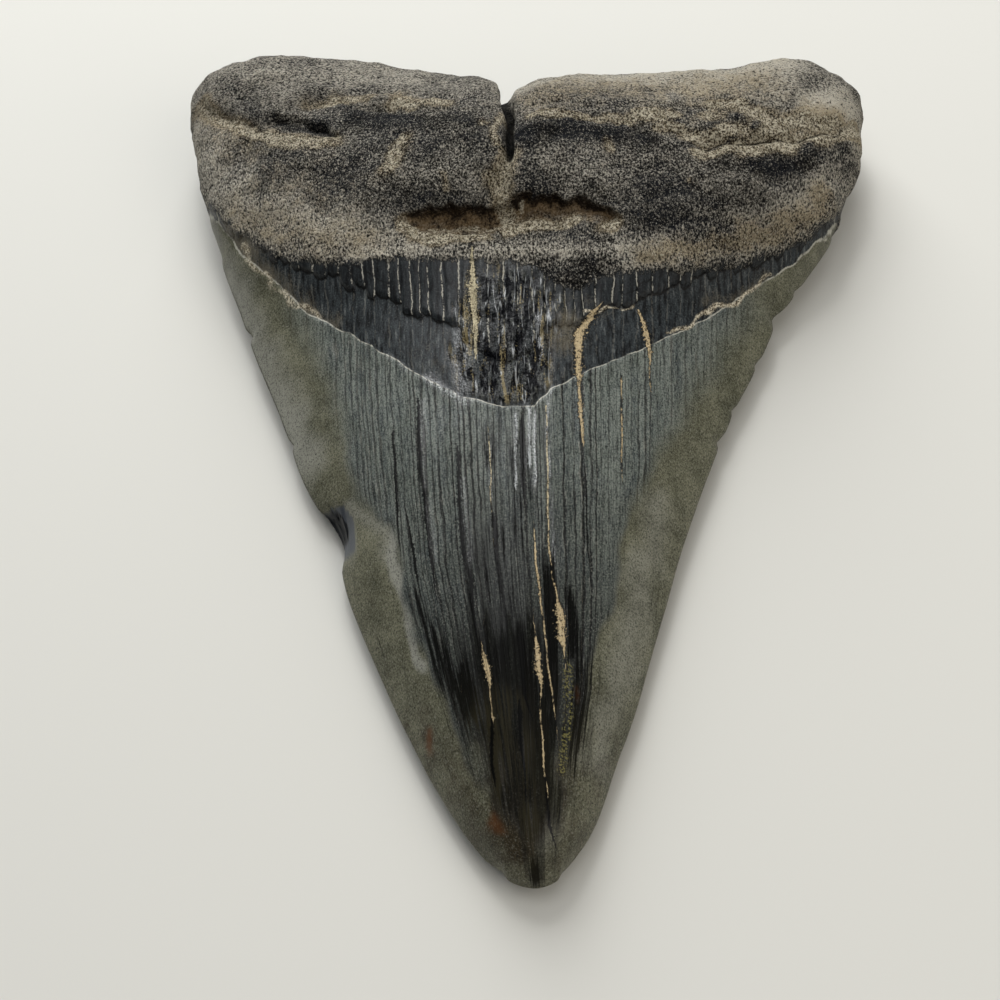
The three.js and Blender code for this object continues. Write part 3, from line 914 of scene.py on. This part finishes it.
def collarColour(add, paint, groove, onPlates, stepShade, joint, crest, pocketShadeShare):
    # near black and glossy, where the crown's glaze thins out over the dentine
    filled = add("MapRange", ["filled", 0.4, 0.52], **soft)
    silted = add("Mix", [filled, paint["collarDark"], paint["groove"]], **colours)
    share = add("Math", [add("MapRange", [onPlates, 0, 1, 0.14, 1]), groove], **times)
    share = add("Math", [share, add("MapRange", [filled, 0, 1, 0.25, 1])], **times)
    rocky = add("Math", ["grit", add("Math", ["half", "crease"])])
    rocky = add("Math", [add("MapRange", [rocky, 1.4, 1.9], **soft), "ridges"], **times)
    ribs = add("Math", ["grit", 0.4, "vein"], **mulAdd)
    ribs = add("MapRange", [ribs, 0.77, 0.85], **soft)
    ribs = add("Math", [ribs, "ridges"], **times)
    film = add("Math", ["medium", 0.8, "film"], **mulAdd)
    film = add("Math", ["grit", 0.9, film], **mulAdd)
    colour = paint["collarDark"]
    for share, hue in (
        (add("MapRange", ["fleck", 0.34, 0.58], **soft), paint["collarGrey"]),
        (add("MapRange", ["fleck", 0.58, 0.72, 0, 0.8], **soft), paint["collarFleck"]),
        (add("MapRange", ["grit", 0.52, 0.32, 0, 0.7], **soft), paint["bladeLine"]),
        (add("MapRange", ["grit", 0.56, 0.76, 0, 0.5], **soft), paint["collarFleck"]),
        (add("Math", [onPlates, 0.45], **times), paint["collarDark"]),
        (share, silted),
        # painted shadow under the ragged ends of the plates
        (add("Math", [stepShade, 0.95], **times), paint["stainAndShadeBlack"]),
        (add("Math", [joint, 0.9], **times), paint["stainAndShadeBlack"]),
        (add("Math", [rocky, 0.7], **times), paint["ridgeGrey"]),
        # painted shade in the ridges' pockets
        (pocketShadeShare, paint["pocket"]),
        (add("Math", [ribs, 0.9], **times), paint["rib"]),
        # painted highlight on the ridges' crests
        (add("Math", [crest, 0.8], **times), paint["crest"]),
        (add("MapRange", [film, 1.1, 1.9, 0, 0.75], **soft), paint["film"]),
    ):
        colour = add("Mix", [share, colour, hue], **colours)
    return colour


def rootPattern(add, height):
    # pale grains in dark porous dentine: upright near the collar, level along the top, even between
    grains = add("Mix", [add("MapRange", ["rootGap", 2, 14, 1, 0], **soft), "porous", "upright"])
    grains = add("Mix", [add("MapRange", [height, 46 * mm, 54 * mm], **soft), grains, "level"])
    # the pale cover: grains and dust, with painted sheen along the top band
    cover = add("Math", ["dust", 0.11, grains], **mulAdd)
    # painted shade: less pale cover on the faces turned to the back, where the window lights them
    cover = add("Math", ["back", -0.07, cover], **mulAdd)
    cover = add("Math", ["silt", 0.05, cover], **mulAdd)
    cover = add("Math", ["broad", 0.16, cover], **mulAdd)
    cover = add("Math", ["medium", 0.2, cover], **mulAdd)
    return grains, cover


def rootColour(add, paint, grains, cover, siltColour):
    warmth = add("Math", ["medium", 0.8, "silt"], **mulAdd)
    under = paint["rootBlue"]
    for share, hue in (
        (add("MapRange", ["broad", 0.4, 0.6], **soft), paint["rootDark"]),
        (add("MapRange", [warmth, 0.5, 1.2], **soft), paint["rootBrown"]),
    ):
        under = add("Mix", [share, under, hue], **colours)
    grainHue = paint["grainGrey"]
    for share, hue in (
        (add("MapRange", ["dust", 0, 1], **soft), paint["grainPale"]),
        (add("MapRange", [warmth, 0.4, 1, 0, 0.9], **soft), paint["grainWarm"]),
    ):
        grainHue = add("Mix", [share, grainHue, hue], **colours)
    silted = add("Math", ["medium", 1.1, "silt"], **mulAdd)
    silted = add("Math", [grains, 1.3, silted], **mulAdd)
    # the hollow's brown floor, patched with painted shade
    floor = add("MapRange", [add("Math", [grains, "medium"]), 0.74, 1.12], **soft)
    floor = add("Mix", [floor, paint["hollowShade"], paint["hollowFloor"]], **colours)
    wall = add("Math", ["half", 2, "wall"], **mulAdd)
    # painted shade: near black deep in the cleft and in the crevices under the shelves
    paintedDeepShade = add("Math", ["cleft", "crevice"], **larger)
    paintedDeepShade = add("Math", [add("Math", ["medium", "half"]), 0.4, paintedDeepShade], **mulAdd)
    colour = under
    for share, hue in (
        (add("MapRange", [cover, 0.59, 0.72], **soft), add("Mix", [0.7, grainHue, under], **colours)),
        (add("MapRange", [cover, 0.67, 0.83], **soft), grainHue),
        # painted sparkle: tiny pale glints on the root's grains
        (add("MapRange", ["spark", 0.6604, 0.717, 0, 0.7], **soft), paint["spark"]),
        (add("MapRange", ["pits", 0.42, 0.34, 0, 0.9], **soft), paint["stainAndShadeBlack"]),
        (add("Math", ["hollow", 0.85], **times), floor),
        (add("MapRange", [wall, 1.35, 2.1, 0, 0.9], **soft), paint["hollowShade"]),
        (add("MapRange", [silted, 1.65, 2.15], **soft), siltColour),
        (add("MapRange", [paintedDeepShade, 0.65, 1.1, 0, 0.95], **soft), paint["stainAndShadeBlack"]),
    ):
        colour = add("Mix", [share, colour, hue], **colours)
    return colour


def crackShares(add):
    # how packed with silt a place is, the dark rim beside it, and the open cracks
    rough = add("MapRange", [add("Math", ["grit", "half"]), 0.75, 1.25, 0.5, 1.9])
    nearest = {}
    outOfReach = 100  # in half widths of a crack
    for kind in ("siltCracks", "bareCracks"):
        nearest[kind] = outOfReach
        for i in range(len(tooth[kind])):
            away = add("Math", [f"{kind}{i}"], **size)
            nearest[kind] = add("Math", [nearest[kind], away], **smaller)
        nearest[kind] = add("Math", [nearest[kind], rough], **times)
    dash = add("MapRange", [add("Math", ["dash", "crackHalf"]), 0.5, 0.62], **soft)
    packed = add("MapRange", [nearest["siltCracks"], 0.75, 1.05, 1, 0], **soft)
    packed = add("Math", [packed, dash], **times)
    rim = add("MapRange", [nearest["siltCracks"], 1.2, 2, 1, 0], **soft)
    bare = add("MapRange", [nearest["bareCracks"], 0.6, 1.3, 1, 0], **soft)
    return packed, rim, bare


def makeFossil():
    material = bpy.data.materials.new("mineralisedTooth")
    material.use_nodes = True
    tree = material.node_tree
    shader = tree.nodes["Principled BSDF"]
    known = {}
    add = functools.partial(addNode, tree, known)
    paint = {name: linear(code) for name, code in finish.items()}
    for part in piece.data.attributes:
        if part.data_type == "FLOAT" and part.domain == "POINT":
            known[part.name] = add("Attribute", out="Fac", attribute_name=part.name)
    place = add("TexCoord", out="Object")
    height = add("SeparateXYZ", [place], out="Y")
    run = add("CombineXYZ", [add("Math", ["fan", mm], **times), height])
    seed = 0
    for where, patterns in ((run, grownNoise), (place, stillNoise)):
        for name, (lump, stretch, octaves, rough) in patterns.items():
            seed += 1
            moved = add("Mapping", {"Vector": where, "Location": (seed * 0.037, seed * 0.021, seed * 0.013),
                                    "Scale": stretch})
            known[name] = add("TexNoise", [moved, 1 / (lump * mm), octaves, rough], out="Fac")

    line, paintedFlankHighlight, stain = bladePattern(add)
    # partly painted shade: the blade's lower middle darkened, with its gloss dulled
    gloom = add("Math", ["streak", 1.7, "gloom"], **mulAdd)
    gloom = add("MapRange", [gloom, 1, 1.75], **soft)
    blade = bladeColour(add, paint, line, paintedFlankHighlight, stain, gloom)
    groove, onPlates, stepShade, joint = collarPattern(add)
    # painted highlights: thin pale lines along the crests of the collar's ridges, which also get more gloss
    crest = add("Math", [add("Math", ["crease", -0.5])], **size)
    crest = add("Math", [add("MapRange", [crest, 0, 0.03, 1, 0], **soft), "ridges"], **times)
    crest = add("Math", [crest, add("MapRange", ["fleck", 0.46, 0.6], **soft)], **times)
    # painted shade: near black in the pockets between the collar's ridges, which the bump also sinks
    pocketShadeShare = add("Math", [add("MapRange", ["pocket", 0.46, 0.54], **soft), "ridges"], **times)
    collar = collarColour(add, paint, groove, onPlates, stepShade, joint, crest, pocketShadeShare)
    crumbly = add("Math", ["crumb", "porous"])
    siltColour = paint["silt"]
    for share, hue in (
        (add("MapRange", [crumbly, 0.85, 1.15], **soft), paint["siltPale"]),
        (add("MapRange", ["porous", 0.54, 0.4, 0, 0.9], **soft), paint["siltDark"]),
    ):
        siltColour = add("Mix", [share, siltColour, hue], **colours)
    browner = add("MapRange", ["fan", 6, 9])
    browner = add("Math", [browner, add("MapRange", [height, -14 * mm, -30 * mm])], **larger)
    crackFill = paint["crackFill"]
    for share, hue in (
        (add("Math", [browner, 0.85], **times), paint["crackRust"]),
        (add("MapRange", ["grit", 0.54, 0.74, 0, 0.6], **soft), paint["siltPale"]),
        (add("MapRange", ["porous", 0.5, 0.38, 0, 0.9], **soft), paint["siltDark"]),
    ):
        crackFill = add("Mix", [share, crackFill, hue], **colours)
    grains, cover = rootPattern(add, height)
    root = rootColour(add, paint, grains, cover, siltColour)
    packed, rim, bare = crackShares(add)

    onCollar = add("MapRange", ["collarGap", -0.08, 0.08], **soft)
    onRoot = add("Math", ["medium", 1.6, "rootGap"], **mulAdd)
    onRoot = add("MapRange", [add("Math", [grains, 3, onRoot], **mulAdd), 1.85, 2.6], **soft)
    # a pale line along the crown's edge: partly its own pale rim, partly a painted highlight on the raised
    # lip
    toEdge = add("Math", ["ragged", 0.3, add("Math", ["collarGap", -0.15])], **mulAdd)
    edge = add("MapRange", [add("Math", [toEdge], **size), 0.03, 0.12, 1, 0], **soft)
    edge = add("Math", [edge, add("MapRange", ["medium", 0.35, 0.52, 0.1, 0.9], **soft)], **times)
    clinging = add("Math", ["medium", 0.7, "collarSilt"], **mulAdd)
    clinging = add("Math", [grains, 0.6, clinging], **mulAdd)
    colour = blade
    for share, hue in (
        (onCollar, collar),
        (edge, paint["edgeLineAndHighlight"]),
        (add("MapRange", [clinging, 1.1, 1.5], **soft), siltColour),
        (onRoot, root),
        (add("Math", [rim, 0.85], **times), paint["bladeLine"]),
        (packed, crackFill),
        (bare, paint["stainAndShadeBlack"]),
    ):
        colour = add("Mix", [share, colour, hue], **colours)
    tree.links.new(colour, shader.inputs["Base Color"])

    onBlade = add("Math", [1, onCollar], **minus)
    # gloss: satin on the blade, glossier on the collar's ridges and glazed spots, dull in the silt
    glazed = add("Math", [1, onRoot], **minus)
    lowRidges = add("MapRange", [height, 12 * mm, 5 * mm, 0.5, 1], **soft)
    lowRidges = add("Math", ["ridges", lowRidges], **times)
    shinyRidges = add("Math", [lowRidges, glazed], **times)
    shinySpots = add("Math", ["glaze", glazed], **times)
    rough = add("Math", ["grit", 0.12, add("Math", [onRoot, 0.2, gloss["roughness"]], **mulAdd)], **mulAdd)
    rough = add("Math", [shinyRidges, -0.12, rough], **mulAdd)
    rough = add("Math", [add("Math", [shinySpots, -0.16, rough], **mulAdd), 0.16], **larger)
    rough = add("Math", [rough, add("Math", [packed, 0.85], **times)], **larger)
    tree.links.new(rough, shader.inputs["Roughness"])
    shader.inputs["IOR"].default_value = gloss["ior"]
    shine = add("Math", [onRoot, -0.13, add("Math", [onCollar, -0.04, gloss["shine"]], **mulAdd)], **mulAdd)
    shine = add("Math", [add("Math", [crest, glazed], **times), 0.8, shine], **mulAdd)
    shine = add("Math", [shinySpots, 0.8, shine], **mulAdd)
    dull = add("Math", [add("Math", [stain, gloom], **larger), onBlade], **times)
    dull = add("Math", [dull, add("Math", [pocketShadeShare, onCollar], **times)], **larger)
    dullest = add("Math", [dull, -0.95, 1], **mulAdd)
    tree.links.new(add("Math", [shine, dullest], **smaller), shader.inputs["Specular IOR Level"])

    # relief too fine for the mesh
    relief = add("Math", [add("Math", [line, "core"], **times), onBlade], **times)
    relief = add("Math", [relief, -0.55], **times)
    bumpy = add("Math", [grains, 2.2, "medium"], **mulAdd)
    bumpy = add("Math", ["crumb", 2.2, bumpy], **mulAdd)
    bumpy = add("Math", ["medium", 3, bumpy], **mulAdd)
    bumpy = add("Math", [add("Math", [cover, 0.35, bumpy], **mulAdd), onRoot], **times)
    folds = add("Math", ["crease", 2], **times)
    folds = add("Math", [folds, add("Math", ["half", 1.2], **times)])
    folds = add("Math", ["pocket", -2, folds], **mulAdd)
    folds = add("Math", [add("Math", [folds, shinyRidges], **times), onCollar], **times)
    fine = add("Math", ["fleck", 0.4, add("Math", ["grit", 0.3], **times)], **mulAdd)
    fine = add("Math", [fine, add("Math", [shinySpots, 2, 0.35], **mulAdd)], **times)
    fine = add("Math", [fine, glazed], **times)
    plateRelief = add("Math", [add("Math", [groove, -0.8, 1.2], **mulAdd), onPlates], **times)
    plateRelief = add("Math", [add("Math", [plateRelief, onCollar], **times), glazed], **times)
    for part, weight in ((bumpy, 1.7), (fine, 1), (plateRelief, 1.2), (folds, 1.3), (packed, -0.5)):
        relief = add("Math", [part, weight, relief], **mulAdd)
    normal = add("Bump", {"Height": relief, "Strength": gloss["reliefStrength"],
                          "Distance": gloss["reliefDepth"] * mm}, out="Normal")
    tree.links.new(normal, shader.inputs["Normal"])
    print("material nodes", len(tree.nodes))
    return material


piece.data.materials.append(makeFossil())
print("material made")

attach(piece, "root")
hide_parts("tooth")
